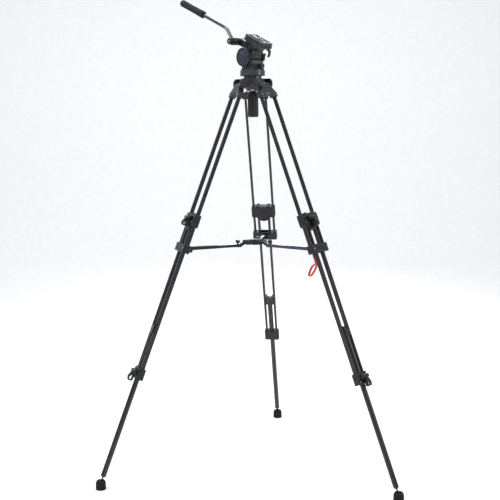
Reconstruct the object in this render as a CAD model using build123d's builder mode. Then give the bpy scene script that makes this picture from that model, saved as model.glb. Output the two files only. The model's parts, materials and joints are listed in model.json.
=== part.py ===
"""Video tripod with twin-tube legs, a mid-level spreader and a bowl-mounted fluid head.

Row frame: millimetres, +Z up, origin on the floor at the centre of the front foot's sole; the pan axis
stands along +Y from it. Everything is drawn about the pan axis, front leg over -Y, and moved on saving.
Each leg is drawn once in a leg frame: origin at its fold pivot, X tangential, Y outward and square
to the leg, Z up along the leg. A distance written *_S runs down the leg from the pivot.
The head is drawn in a head frame (X forward, Y left) with its origin where the tilt axis crosses
the pan axis; tilting parts use the same frame pitched nose-down.
"""

from build123d import *
from math import cos, radians, sin
import os

os.makedirs("parts", exist_ok=True)

# ---------------------------------------------------------------- driving dimensions, mm and deg
LEG_AZIMUTHS = {"front": -90.0, "right": 150.0, "left": 30.0}
LEG_TILT = 21.66
PIVOT_R = 50.0
PIVOT_Z = 1391.4

PIN_GAP = 0.06
SLIDE_GAP = 0.3
FACE_GAP = 0.5

# leg stations, down the leg from the fold pivot
SHOULDER_S = 46.0
BRIDGE_S = 501.0
BRACKET_S = 604.0
GUIDE_TOP_S = 883.0
COLLAR_S = 1068.0
LOWER_TUBE_END_S = 1444.0

# tubes
UPPER_X = 37.0
UPPER_SECTION = (15.0, 8.6)
UPPER_WALL = 1.2
MIDDLE_X = 19.5
MIDDLE_SECTION = (8.4, 14.3)
MIDDLE_CORNER = 1.5
MIDDLE_WALL = 1.1
LOWER_R = 9.5
LOWER_WALL = 1.3

# shoulder
SHOULDER_TOP_W = 55.0
SHOULDER_W = 92.0
SHOULDER_T = 20.0
HINGE_R = 4.0
HINGE_BOSS_R = 9.5

# spreader bracket, clamp bridge, collar
BRACKET_SIZE = (92.0, 28.0, 30.0)
BRACKET_OPENING = (31.0, 22.0)
FORK_Y = -27.0
FORK_PIN_R = 3.0
FORK_GAP = 14.0
BRIDGE_SIZE = (89.0, 24.0, 46.0)
COLLAR_SIZE = (58.0, 27.0, 40.0)
GUIDE_SIZE = (30.0, 21.0, 36.0)
BARREL_R = 7.0
LEVER_PIN_R = 2.5
EAR_T = 4.0

# ball foot
BALL_Z = 21.7
BALL_R = 8.0
STEM_R = 3.0
FOOT_R = 18.0
FOOT_TOP = 10.3
SOCKET_HALF_ANGLE = 50.0

# spreader
ARM_RISE = 7.0
HUB_RISE = 9.0
ARM_LENGTH = 212.0
CHANNEL_START = 10.0
CHANNEL_END = 103.0
CHANNEL_SIZE = (12.6, 12.0)
CHANNEL_WALL = 1.2
BAR_START = 84.0
TONGUE_LENGTH = 18.0
TONGUE_T = 5.0
TONGUE_R = 5.0
HUB_CHEEK_IN = 10.4
HUB_CHEEK_T = 3.5
HUB_CORE_R = 14.0
HUB_PIN_R = 2.5
KNOB_X = 181.0

# crown and levelling bowl
RIM_Z = 1415.0
BOWL_Z = 1412.0
BALL_CUP_R = 37.5
BOWL_WALL = 4.45
RIM_R = 45.0
STUD_R = 5.0
STUD_END_Z = 1300.0
GRIP_R = 19.0
GRIP_TOP_Z = 1362.0
GRIP_END_Z = 1281.0

# head
PAN_AZIMUTH = -100.4
TILT_Z = 1489.5
NOSE_DOWN = 25.0
RING_R = 44.0
RING_BASE_Z = 1424.0
RING_TOP_Z = 1444.4
HOUSING_R = 38.0
HOUSING_TOP_Z = 1466.0
SPINDLE_R = 10.0
DRUM_R = 20.0
SHAFT_R = 6.0
YOKE_IN = 28.5
YOKE_OUT = 38.0
YOKE_R = 26.0
DIAL_R = 32.5
DIAL_FACE = 48.0
PLATFORM_REAR = -40.0
PLATFORM_FRONT = 56.0
PLATFORM_W = 54.0
PLATFORM_BASE = 52.0
PLATFORM_TOP = 63.0
PLATE_BASE = 64.5
PLATE_TOP = 72.0
SCREW_R = 3.175
SCREW_X = 12.0
SCREW_LENGTH = 5.5
SHANK_R = 3.6
GUIDE_PIN_X = 27.0
GUIDE_PIN_R = 2.25
ROSETTE = (-62.0, 33.0)
ROSETTE_R = 13.0
ROSETTE_FACE = 36.0
BAR_Y = -50.0
BAR_R = 6.5
BAR_BEND = (-117.0, 62.0)
BAR_END = (-397.0, 56.0)
BAR_GRIP_R = 13.0
BAR_GRIP_LENGTH = 143.0


# ---------------------------------------------------------------- frames
def radial(azimuth):
    return Vector(cos(radians(azimuth)), sin(radians(azimuth)), 0)


def leg_frame(azimuth):
    """Leg frame of one leg: origin at its fold pivot, Z up along the leg, Y outward."""
    out = radial(azimuth)
    up_leg = Vector(0, 0, cos(radians(LEG_TILT))) - out * sin(radians(LEG_TILT))
    return Plane(
        origin=out * PIVOT_R + Vector(0, 0, PIVOT_Z),
        x_dir=(out.Y, -out.X, 0),
        z_dir=up_leg,
    )


BALL_S = (PIVOT_Z - BALL_Z) / cos(radians(LEG_TILT))
FORK_RADIUS = PIVOT_R + BRACKET_S * sin(radians(LEG_TILT)) + FORK_Y * cos(radians(LEG_TILT))
FORK_Z = PIVOT_Z - BRACKET_S * cos(radians(LEG_TILT)) + FORK_Y * sin(radians(LEG_TILT))
BALL_RADIUS = PIVOT_R + BALL_S * sin(radians(LEG_TILT))
HUB_PIN_RADIUS = FORK_RADIUS - ARM_LENGTH
HUB_PIN_Z = FORK_Z + ARM_RISE + HUB_RISE


def arm_frame(azimuth):
    """Spreader arm frame: origin at the leg's fork pin, X inward to the hub, Z up."""
    out = radial(azimuth)
    return Plane(origin=out * FORK_RADIUS + Vector(0, 0, FORK_Z), x_dir=out * -1, z_dir=(0, 0, 1))


def foot_frame(azimuth):
    out = radial(azimuth)
    return Plane(origin=out * BALL_RADIUS + Vector(0, 0, BALL_Z), x_dir=(out.Y, -out.X, 0), z_dir=(0, 0, 1))


FORWARD = radial(PAN_AZIMUTH)
PAN_FRAME = Plane(origin=(0, 0, TILT_Z), x_dir=FORWARD, z_dir=(0, 0, 1))
TILT_FRAME = Plane(
    origin=(0, 0, TILT_Z),
    x_dir=FORWARD * cos(radians(NOSE_DOWN)) - Vector(0, 0, sin(radians(NOSE_DOWN))),
    z_dir=FORWARD * sin(radians(NOSE_DOWN)) + Vector(0, 0, cos(radians(NOSE_DOWN))),
)


def save(label, *shapes):
    """Write one node in the row frame; several shapes stay separate, touching solids."""
    shapes = [shape.moved(Location((0, BALL_RADIUS, 0))) for shape in shapes]
    node = shapes[0] if len(shapes) == 1 else Compound(children=list(shapes))
    node.label = label
    export_step(node, f"parts/{label}.step")


# ---------------------------------------------------------------- leg: shoulder and upper tubes
def across(y=0.0):
    """Sketch plane of a leg-frame front view: local x tangential, local y up the leg."""
    return Plane(origin=(0, y, 0), x_dir=(1, 0, 0), z_dir=(0, -1, 0))


def level(s):
    """Sketch plane square to the leg at distance s below the pivot."""
    return Plane.XY.offset(-s)


ARCH_S = 30.0
SHOULDER_NECK_S = 12.5
SHOULDER_FLARE_S = 32.0

with BuildPart() as shoulder:
    with BuildSketch(across()):
        with BuildLine():
            Polyline(
                (-SHOULDER_TOP_W / 2, HINGE_BOSS_R),
                (SHOULDER_TOP_W / 2, HINGE_BOSS_R),
                (SHOULDER_TOP_W / 2, -SHOULDER_NECK_S),
                (SHOULDER_W / 2, -SHOULDER_FLARE_S),
                (SHOULDER_W / 2, -SHOULDER_S),
                (28, -SHOULDER_S),
            )
            ThreePointArc((28, -SHOULDER_S), (0, -ARCH_S), (-28, -SHOULDER_S))
            Polyline(
                (-28, -SHOULDER_S),
                (-SHOULDER_W / 2, -SHOULDER_S),
                (-SHOULDER_W / 2, -SHOULDER_FLARE_S),
                (-SHOULDER_TOP_W / 2, -SHOULDER_NECK_S),
                (-SHOULDER_TOP_W / 2, HINGE_BOSS_R),
            )
        make_face()
    extrude(amount=SHOULDER_T / 2, both=True)
    fillet(shoulder.edges().filter_by(Axis.Y).group_by(Axis.Z)[-2], 6)
    with BuildSketch(Plane.YZ):
        Circle(HINGE_BOSS_R)
        with Locations((0, -31)):
            Rectangle(SHOULDER_T, 42)
        with BuildLine():
            Polyline(
                (-HINGE_BOSS_R, 0),
                (HINGE_BOSS_R, 0),
                (SHOULDER_T / 2, -10),
                (-SHOULDER_T / 2, -10),
                close=True,
            )
        make_face()
    extrude(amount=SHOULDER_W, both=True, mode=Mode.INTERSECT)
    # recessed panel on the outer face
    with BuildSketch(across(SHOULDER_T / 2)):
        with Locations((0, -20)):
            RectangleRounded(34, 12, 2)
    extrude(amount=0.8, mode=Mode.SUBTRACT)
    # blind sockets for the upper tubes
    with BuildSketch(level(SHOULDER_S)):
        with Locations((-UPPER_X, 0), (UPPER_X, 0)):
            SlotOverall(*UPPER_SECTION, rotation=90)
    extrude(amount=22, mode=Mode.SUBTRACT)
    with Locations(Plane.YZ):
        Cylinder(HINGE_R, SHOULDER_W, mode=Mode.SUBTRACT)

LUG_IN = SHOULDER_TOP_W / 2 + FACE_GAP
LUG_T = 7.5
with BuildPart() as hinge_pin:
    with Locations(Plane.YZ):
        Cylinder(HINGE_R, 2 * (LUG_IN + LUG_T) + 1)
    for side in (-1, 1):
        with Locations(Plane.YZ.offset(side * (LUG_IN + LUG_T + 2))):
            Cylinder(HINGE_R + 2, 3)

with BuildPart() as upper_tubes:
    with BuildSketch(level(SHOULDER_S - 22)):
        with Locations((-UPPER_X, 0), (UPPER_X, 0)):
            SlotOverall(*UPPER_SECTION, rotation=90)
            SlotOverall(
                UPPER_SECTION[0] - 2 * UPPER_WALL,
                UPPER_SECTION[1] - 2 * UPPER_WALL,
                rotation=90,
                mode=Mode.SUBTRACT,
            )
    extrude(amount=-(BRACKET_S + 12 - SHOULDER_S + 22))

# ---------------------------------------------------------------- leg: spreader bracket
with BuildPart() as bracket:
    with BuildSketch(level(BRACKET_S + BRACKET_SIZE[2] / 2)):
        RectangleRounded(BRACKET_SIZE[0], BRACKET_SIZE[1], 6)
    extrude(amount=BRACKET_SIZE[2])
    fillet(bracket.faces().filter_by(Axis.Z).edges(), 1.5)
    # fork for the spreader arm on the inner face
    for side in (-1, 1):
        with BuildSketch(Plane.YZ.offset(side * (FORK_GAP / 2 + 2))):
            with BuildLine():
                Polyline(
                    (-BRACKET_SIZE[1] / 2 + 1, -BRACKET_S + 12),
                    (FORK_Y, -BRACKET_S + 7),
                    (FORK_Y, -BRACKET_S - 7),
                    (-BRACKET_SIZE[1] / 2 + 1, -BRACKET_S - 12),
                    close=True,
                )
            make_face()
            with Locations((FORK_Y, -BRACKET_S)):
                Circle(7)
        extrude(amount=2, both=True)
    # through opening for the middle tubes and the lower tube's guide
    with BuildSketch(level(BRACKET_S + 20)):
        Rectangle(*BRACKET_OPENING)
        with Locations((-MIDDLE_X, 0), (MIDDLE_X, 0)):
            RectangleRounded(
                MIDDLE_SECTION[0] + 2 * SLIDE_GAP,
                MIDDLE_SECTION[1] + 2 * SLIDE_GAP,
                MIDDLE_CORNER,
            )
    extrude(amount=40, mode=Mode.SUBTRACT)
    with BuildSketch(level(BRACKET_S + 12)):
        with Locations((-UPPER_X, 0), (UPPER_X, 0)):
            SlotOverall(*UPPER_SECTION, rotation=90)
    extrude(amount=40, mode=Mode.SUBTRACT)
    with Locations(Plane(origin=(0, FORK_Y, -BRACKET_S), x_dir=(0, 1, 0), z_dir=(1, 0, 0))):
        Cylinder(FORK_PIN_R, 60, mode=Mode.SUBTRACT)

with BuildPart() as fork_pin:
    with Locations(Plane(origin=(0, FORK_Y, -BRACKET_S), x_dir=(0, 1, 0), z_dir=(1, 0, 0))):
        Cylinder(FORK_PIN_R, FORK_GAP + 8)
    for side in (-1, 1):
        head_x = side * (FORK_GAP / 2 + 5.2)
        with Locations(Plane(origin=(head_x, FORK_Y, -BRACKET_S), x_dir=(0, 1, 0), z_dir=(1, 0, 0))):
            Cylinder(FORK_PIN_R + 2, 2.4)


# ---------------------------------------------------------------- leg: middle stage
def middle_tube_outline(grow=0.0):
    """Both middle tubes' outline, in a sketch square to the leg."""
    with Locations((-MIDDLE_X, 0), (MIDDLE_X, 0)):
        RectangleRounded(MIDDLE_SECTION[0] + 2 * grow, MIDDLE_SECTION[1] + 2 * grow, MIDDLE_CORNER)


with BuildPart() as middle_tubes:
    with BuildSketch(level(BRIDGE_S - 20)):
        middle_tube_outline()
        with Locations((-MIDDLE_X, 0), (MIDDLE_X, 0)):
            Rectangle(
                MIDDLE_SECTION[0] - 2 * MIDDLE_WALL,
                MIDDLE_SECTION[1] - 2 * MIDDLE_WALL,
                mode=Mode.SUBTRACT,
            )
    extrude(amount=-(COLLAR_S + 12 - BRIDGE_S + 20))


def lever_ears(face_y, centre_s, barrel_length):
    """Two ears on an outer face that hold a flip lever's pin."""
    pivot_y = face_y + BARREL_R + FACE_GAP
    with BuildPart() as ears:
        for side in (-1, 1):
            with BuildSketch(Plane.YZ.offset(side * (barrel_length / 2 + FACE_GAP + EAR_T / 2))):
                with BuildLine():
                    Polyline(
                        (face_y - 2, -centre_s + 14),
                        (pivot_y, -centre_s + 10.5),
                        (pivot_y, -centre_s - 2.5),
                        (face_y - 2, -centre_s - 6),
                        close=True,
                    )
                make_face()
                with Locations((pivot_y, -centre_s + 4)):
                    Circle(6.5)
            extrude(amount=EAR_T / 2, both=True)
    return ears.part


def lever_axis(face_y, centre_s):
    """Plane whose Z is the flip lever's pin, at the pin's middle."""
    return Plane(origin=(0, face_y + BARREL_R + FACE_GAP, -centre_s + 4), x_dir=(0, 1, 0), z_dir=(1, 0, 0))


def flip_lever(face_y, centre_s, barrel_length, reach, drop, loop_w):
    """A barrel with a D-shaped loop that lies down the clamp: the quick lever of a leg clamp."""
    pivot_y = face_y + BARREL_R + FACE_GAP
    pivot_z = -centre_s + 4
    with BuildPart() as lever:
        with Locations(lever_axis(face_y, centre_s)):
            Cylinder(BARREL_R, barrel_length)
        with BuildSketch(Plane.YZ) as loop:
            with BuildLine():
                Polyline(
                    (pivot_y - 2, pivot_z + 5),
                    (pivot_y + 4, pivot_z + 6),
                    (face_y + reach, pivot_z - 0.62 * drop),
                    (face_y + reach - 3, pivot_z - drop),
                    (pivot_y - 4.5, pivot_z - drop),
                    (pivot_y - 4.5, pivot_z),
                    close=True,
                )
            make_face()
            fillet(loop.vertices().sort_by(Axis.Y)[:2], 2)
            with BuildLine():
                Polyline(
                    (pivot_y + 0.5, pivot_z - BARREL_R - 2.5),
                    (face_y + reach - 5.5, pivot_z - 0.66 * drop),
                    (face_y + reach - 6.5, pivot_z - drop + 4.5),
                    (pivot_y + 0.5, pivot_z - drop + 4.5),
                    close=True,
                )
            make_face(mode=Mode.SUBTRACT)
        extrude(amount=loop_w / 2, both=True)
        with Locations(lever_axis(face_y, centre_s)):
            Cylinder(LEVER_PIN_R + PIN_GAP, 2 * barrel_length, mode=Mode.SUBTRACT)
    return lever.part


BARREL_UPPER = 34.0
BARREL_LOWER = 26.0
BRIDGE_FACE = BRIDGE_SIZE[1] / 2
COLLAR_FACE = COLLAR_SIZE[1] / 2

bridge_ears = lever_ears(BRIDGE_FACE, BRIDGE_S, BARREL_UPPER)
collar_ears = lever_ears(COLLAR_FACE, COLLAR_S, BARREL_LOWER)

with BuildPart() as bridge:
    with BuildSketch(across()):
        with Locations((0, -BRIDGE_S)):
            RectangleRounded(BRIDGE_SIZE[0], BRIDGE_SIZE[2], 6)
        with Locations((0, -BRIDGE_S - 8)):
            Circle(30)
        with Locations((-MIDDLE_X, -BRIDGE_S + 18), (MIDDLE_X, -BRIDGE_S + 18)):
            Circle(9)
    extrude(amount=BRIDGE_FACE, both=True)
    fillet(bridge.faces().filter_by(Axis.Y).edges(), 1.2)
    add(bridge_ears)
    with BuildSketch(level(BRIDGE_S + 60)):
        with Locations((-UPPER_X, 0), (UPPER_X, 0)):
            SlotOverall(UPPER_SECTION[0] + 2 * SLIDE_GAP, UPPER_SECTION[1] + 2 * SLIDE_GAP, rotation=90)
    extrude(amount=120, mode=Mode.SUBTRACT)
    with BuildSketch(level(BRIDGE_S + 60)):
        middle_tube_outline()
    extrude(amount=80, mode=Mode.SUBTRACT)
    with Locations(lever_axis(BRIDGE_FACE, BRIDGE_S)):
        Cylinder(LEVER_PIN_R, 2 * BARREL_UPPER, mode=Mode.SUBTRACT)

with BuildPart() as bridge_pin:
    with Locations(lever_axis(BRIDGE_FACE, BRIDGE_S)):
        Cylinder(LEVER_PIN_R, BARREL_UPPER + 2 * (FACE_GAP + EAR_T))

with BuildPart() as bridge_screw:
    with Locations(Plane(origin=(0, -BRIDGE_FACE, -BRIDGE_S), x_dir=(1, 0, 0), z_dir=(0, -1, 0))):
        Cylinder(4.5, 3, align=(Align.CENTER, Align.CENTER, Align.MIN))

with BuildPart() as collar:
    with BuildSketch(level(COLLAR_S + COLLAR_SIZE[2] / 2)):
        RectangleRounded(COLLAR_SIZE[0], COLLAR_SIZE[1], 6)
    extrude(amount=COLLAR_SIZE[2])
    fillet(collar.faces().filter_by(Axis.Z).edges(), 1.5)
    add(collar_ears)
    with BuildSketch(level(COLLAR_S + 12)):
        middle_tube_outline()
    extrude(amount=60, mode=Mode.SUBTRACT)
    with Locations(level(COLLAR_S)):
        Cylinder(LOWER_R + SLIDE_GAP, 80, mode=Mode.SUBTRACT)
    with Locations(lever_axis(COLLAR_FACE, COLLAR_S)):
        Cylinder(LEVER_PIN_R, 2 * BARREL_LOWER, mode=Mode.SUBTRACT)

with BuildPart() as collar_pin:
    with Locations(lever_axis(COLLAR_FACE, COLLAR_S)):
        Cylinder(LEVER_PIN_R, BARREL_LOWER + 2 * (FACE_GAP + EAR_T))

upper_lever = flip_lever(BRIDGE_FACE, BRIDGE_S, BARREL_UPPER, 24, 31, 14)
lower_lever = flip_lever(COLLAR_FACE, COLLAR_S, BARREL_LOWER, 23, 36, 12)

# ---------------------------------------------------------------- leg: lower stage
with BuildPart() as guide:
    with BuildSketch(level(GUIDE_TOP_S + GUIDE_SIZE[2])):
        RectangleRounded(GUIDE_SIZE[0], GUIDE_SIZE[1], 2)
    extrude(amount=GUIDE_SIZE[2])
    with Locations(Plane(origin=(0, 0, -GUIDE_TOP_S), x_dir=(1, 0, 0), z_dir=(0, 1, 0))):
        Cylinder(10, 40, mode=Mode.SUBTRACT)
    with Locations(level(GUIDE_TOP_S + 18)):
        Cylinder(LOWER_R, 30, align=(Align.CENTER, Align.CENTER, Align.MAX), mode=Mode.SUBTRACT)

with BuildPart() as lower_tube:
    with BuildSketch(level(LOWER_TUBE_END_S)):
        Circle(LOWER_R)
        Circle(LOWER_R - LOWER_WALL, mode=Mode.SUBTRACT)
    extrude(amount=LOWER_TUBE_END_S - GUIDE_TOP_S - 18)

PLUG_TOP = BALL_S - LOWER_TUBE_END_S
with BuildPart() as ball_stud:
    with BuildSketch(Plane.XZ):
        with BuildLine():
            Polyline(
                (0, PLUG_TOP + 14),
                (LOWER_R - LOWER_WALL, PLUG_TOP + 14),
                (LOWER_R - LOWER_WALL, PLUG_TOP),
                (LOWER_R, PLUG_TOP),
                (LOWER_R, PLUG_TOP - 4),
                (STEM_R, PLUG_TOP - 8),
                (STEM_R, 0),
                (0, 0),
                close=True,
            )
        make_face()
        with Locations((0, 0)):
            Circle(BALL_R)
        split(bisect_by=Plane.YZ, keep=Keep.TOP)
    revolve(axis=Axis.Z)

with BuildPart() as foot:
    with BuildSketch(Plane.XZ):
        rim = FOOT_TOP / cos(radians(SOCKET_HALF_ANGLE)) * sin(radians(SOCKET_HALF_ANGLE))
        socket = BALL_R + PIN_GAP
        with BuildLine():
            Polyline(
                (0, -socket),
                (0, -BALL_Z),
                (FOOT_R - 1.5, -BALL_Z),
                (FOOT_R, -BALL_Z + 1.5),
                (FOOT_R, -4),
            )
            ThreePointArc((FOOT_R, -4), (FOOT_R - 0.9, 4), (rim + 1.6, FOOT_TOP))
            Polyline(
                (rim + 1.6, FOOT_TOP),
                (rim, FOOT_TOP),
                (socket * sin(radians(SOCKET_HALF_ANGLE)), socket * cos(radians(SOCKET_HALF_ANGLE))),
            )
            ThreePointArc(
                (socket * sin(radians(SOCKET_HALF_ANGLE)), socket * cos(radians(SOCKET_HALF_ANGLE))),
                (socket * cos(radians(10)), -socket * sin(radians(10))),
                (0, -socket),
            )
        make_face()
    revolve(axis=Axis.Z)

# ---------------------------------------------------------------- spreader arm, slider and knob
with BuildPart() as arm:
    with BuildSketch(Plane.YZ.offset(CHANNEL_START)):
        with Locations((0, ARM_RISE)):
            Rectangle(*CHANNEL_SIZE)
        with Locations((0, ARM_RISE - CHANNEL_WALL)):
            Rectangle(CHANNEL_SIZE[0] - 2 * CHANNEL_WALL, CHANNEL_SIZE[1], mode=Mode.SUBTRACT)
    extrude(amount=CHANNEL_END - CHANNEL_START)
    with BuildSketch(Plane.XZ):
        Circle(6)
        with BuildLine():
            Polyline(
                (-6, 0),
                (-4, ARM_RISE + 5),
                (0, ARM_RISE + 6),
                (CHANNEL_START, ARM_RISE + 6),
                (CHANNEL_START, ARM_RISE - 6),
                (5, -3.3),
                close=True,
            )
        make_face()
    extrude(amount=CHANNEL_SIZE[0] / 2, both=True)
    with Locations(Plane.XZ):
        Cylinder(FORK_PIN_R + PIN_GAP, 40, mode=Mode.SUBTRACT)

BAR_W = CHANNEL_SIZE[0] - 2 * CHANNEL_WALL - 2 * SLIDE_GAP
BAR_H = CHANNEL_SIZE[1] - CHANNEL_WALL - SLIDE_GAP
BAR_TOP = ARM_RISE + CHANNEL_SIZE[1] / 2 - CHANNEL_WALL - SLIDE_GAP
BAR_END_X = ARM_LENGTH - TONGUE_LENGTH
HUB_PIN_RISE = ARM_RISE + HUB_RISE

with BuildPart() as slider:
    with BuildSketch(Plane.YZ.offset(BAR_START)):
        with Locations((0, BAR_TOP - BAR_H / 2)):
            RectangleRounded(BAR_W, BAR_H, 1.2)
    extrude(amount=BAR_END_X - BAR_START)
    # tongue rising to the hub pin
    with BuildSketch(Plane.XZ):
        with Locations((ARM_LENGTH, HUB_PIN_RISE)):
            Circle(TONGUE_R)
        with BuildLine():
            Polyline(
                (BAR_END_X - 6, BAR_TOP - BAR_H + 1.5),
                (BAR_END_X - 6, BAR_TOP + 1),
                (ARM_LENGTH - 3, HUB_PIN_RISE + 4),
                (ARM_LENGTH + 4, HUB_PIN_RISE - 3),
                (BAR_END_X + 1, BAR_TOP - BAR_H + 1.5),
                close=True,
            )
        make_face()
    extrude(amount=TONGUE_T / 2, both=True)
    # collar round the bar's end under the knob
    with Locations((KNOB_X + 4, 0, BAR_TOP - BAR_H / 2)):
        Box(14, CHANNEL_SIZE[0], CHANNEL_SIZE[1])

with BuildPart() as eye_boss:
    with Locations(Plane(origin=(ARM_LENGTH, 0, HUB_PIN_RISE), x_dir=(1, 0, 0), z_dir=(0, 1, 0))):
        Cylinder(TONGUE_R, 2 * (HUB_CHEEK_IN - SLIDE_GAP))

with BuildPart() as front_slider:
    add(slider.part)
    add(eye_boss.part)
    with Locations(Plane(origin=(ARM_LENGTH, 0, HUB_PIN_RISE), x_dir=(1, 0, 0), z_dir=(0, 1, 0))):
        Cylinder(HUB_PIN_R + PIN_GAP, 40, mode=Mode.SUBTRACT)

KNOB_BASE = BAR_TOP - BAR_H / 2 + CHANNEL_SIZE[1] / 2
with BuildPart() as spreader_knob:
    with Locations((KNOB_X, 0, KNOB_BASE)):
        Cylinder(3.5, 4, align=(Align.CENTER, Align.CENTER, Align.MIN))
    with BuildSketch(Plane.XY.offset(KNOB_BASE + 4)):
        with Locations((KNOB_X, 0)):
            Circle(8)
            with PolarLocations(8.6, 6):
                Circle(1.8, mode=Mode.SUBTRACT)
    extrude(amount=10)
    chamfer(spreader_knob.faces().sort_by(Axis.Z)[-1].edges(), 0.8)

# hub, drawn about the pan axis with its middle at the pin height
with BuildPart() as hub:
    with Locations((0, 0, HUB_PIN_Z)):
        Cylinder(HUB_CORE_R, 20)
    for azimuth in LEG_AZIMUTHS.values():
        spoke = Plane(origin=(0, 0, HUB_PIN_Z), x_dir=radial(azimuth), z_dir=(0, 0, 1))
        for side in (-1, 1):
            cheek = Plane(
                origin=spoke.origin + spoke.y_dir * side * (HUB_CHEEK_IN + HUB_CHEEK_T / 2),
                x_dir=spoke.x_dir,
                z_dir=spoke.y_dir * -1,
            )
            with BuildSketch(cheek):
                with Locations((HUB_PIN_RADIUS / 2, 0)):
                    Rectangle(HUB_PIN_RADIUS, 16)
                with Locations((HUB_PIN_RADIUS, 0)):
                    Circle(8)
            extrude(amount=HUB_CHEEK_T / 2, both=True)
            boss = Plane(
                origin=spoke.origin + spoke.x_dir * HUB_PIN_RADIUS
                + spoke.y_dir * side * (HUB_CHEEK_IN + HUB_CHEEK_T + 1),
                z_dir=spoke.y_dir,
            )
            with Locations(boss):
                Cylinder(4, 2)
    front_pin = Plane(
        origin=radial(LEG_AZIMUTHS["front"]) * HUB_PIN_RADIUS + Vector(0, 0, HUB_PIN_Z),
        z_dir=(1, 0, 0),
    )
    with Locations(front_pin):
        Cylinder(HUB_PIN_R, 2 * (HUB_CHEEK_IN + HUB_CHEEK_T + 2), mode=Mode.SUBTRACT)

with BuildPart() as hub_pin:
    with Locations(front_pin):
        Cylinder(HUB_PIN_R, 2 * (HUB_CHEEK_IN + HUB_CHEEK_T + 2))

# ---------------------------------------------------------------- crown
BOWL_R = BALL_CUP_R + PIN_GAP
SHELL_R = BALL_CUP_R + BOWL_WALL
HOLE_R = 14.0


def sphere_z(radius, at_r):
    """Height of the lower half of a sphere about the bowl's centre."""
    return BOWL_Z - (radius**2 - at_r**2) ** 0.5


def sphere_point(radius, angle):
    """Point of a vertical section of that sphere; the angle runs from straight down."""
    return (radius * sin(radians(angle)), BOWL_Z - radius * cos(radians(angle)))


with BuildPart() as crown:
    with BuildSketch(Plane.XZ):
        with BuildLine():
            Polyline(
                (BOWL_R, BOWL_Z),
                (BOWL_R, RIM_Z),
                (RIM_R - 1.5, RIM_Z),
                (RIM_R, RIM_Z - 1.5),
                (RIM_R, RIM_Z - 12),
                (SHELL_R * sin(radians(76)), BOWL_Z - SHELL_R * cos(radians(76))),
            )
            ThreePointArc(
                sphere_point(SHELL_R, 76),
                sphere_point(SHELL_R, 50),
                (HOLE_R, sphere_z(SHELL_R, HOLE_R)),
            )
            Line((HOLE_R, sphere_z(SHELL_R, HOLE_R)), (HOLE_R, sphere_z(BOWL_R, HOLE_R)))
            ThreePointArc((HOLE_R, sphere_z(BOWL_R, HOLE_R)), sphere_point(BOWL_R, 55), (BOWL_R, BOWL_Z))
        make_face()
    revolve(axis=Axis.Z)
    for azimuth in LEG_AZIMUTHS.values():
        out = radial(azimuth)
        for side in (-1, 1):
            lug = Plane(
                origin=Vector(-out.Y, out.X, 0) * side * (LUG_IN + LUG_T / 2),
                x_dir=out,
                z_dir=(out.Y, -out.X, 0),
            )
            with BuildSketch(lug):
                with BuildLine():
                    Polyline(
                        (27, RIM_Z),
                        (PIVOT_R + 2, RIM_Z),
                        (PIVOT_R + 10.5, RIM_Z - 10),
                        (PIVOT_R + 10.5, PIVOT_Z),
                        (PIVOT_R - 9, PIVOT_Z - 4),
                        (27, RIM_Z - 16),
                        close=True,
                    )
                make_face()
                with Locations((PIVOT_R, PIVOT_Z)):
                    Circle(10.5)
            extrude(amount=LUG_T / 2, both=True)
        hinge = Plane(origin=out * PIVOT_R + Vector(0, 0, PIVOT_Z), x_dir=out, z_dir=(-out.Y, out.X, 0))
        with Locations(hinge):
            Cylinder(HINGE_R + PIN_GAP, 120, mode=Mode.SUBTRACT)
    with Locations((0, 0, BOWL_Z)):
        Sphere(BOWL_R, mode=Mode.SUBTRACT)

# ---------------------------------------------------------------- levelling half ball and tie-down
WASHER_IN = SHELL_R + 0.1
WASHER_OUT = 46.0
with BuildPart() as pressure_washer:
    with BuildSketch(Plane.XZ):
        with BuildLine():
            ThreePointArc(
                (10, sphere_z(WASHER_IN, 10)), (17, sphere_z(WASHER_IN, 17)), (24, sphere_z(WASHER_IN, 24))
            )
            Line((24, sphere_z(WASHER_IN, 24)), (24, sphere_z(WASHER_OUT, 24)))
            ThreePointArc(
                (24, sphere_z(WASHER_OUT, 24)), (17, sphere_z(WASHER_OUT, 17)), (10, sphere_z(WASHER_OUT, 10))
            )
            Line((10, sphere_z(WASHER_OUT, 10)), (10, sphere_z(WASHER_IN, 10)))
        make_face()
    revolve(axis=Axis.Z)

with BuildPart() as half_ball:
    with BuildSketch(Plane.XZ):
        with BuildLine():
            Line((0, STUD_END_Z), (STUD_R, STUD_END_Z))
            Line((STUD_R, STUD_END_Z), (STUD_R, sphere_z(BALL_CUP_R, STUD_R)))
            ThreePointArc(
                (STUD_R, sphere_z(BALL_CUP_R, STUD_R)), sphere_point(BALL_CUP_R, 45), (BALL_CUP_R, BOWL_Z)
            )
            Polyline(
                (BALL_CUP_R, BOWL_Z),
                (32, BOWL_Z),
                (32, RING_BASE_Z),
                (RING_R - 2, RING_BASE_Z),
                (RING_R, RING_BASE_Z + 2),
                (RING_R, RING_TOP_Z - 1),
                (RING_R - 1, RING_TOP_Z),
                (SPINDLE_R, RING_TOP_Z),
                (SPINDLE_R, RING_TOP_Z + 12),
                (0, RING_TOP_Z + 12),
                (0, STUD_END_Z),
            )
        make_face()
    revolve(axis=Axis.Z)

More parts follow.
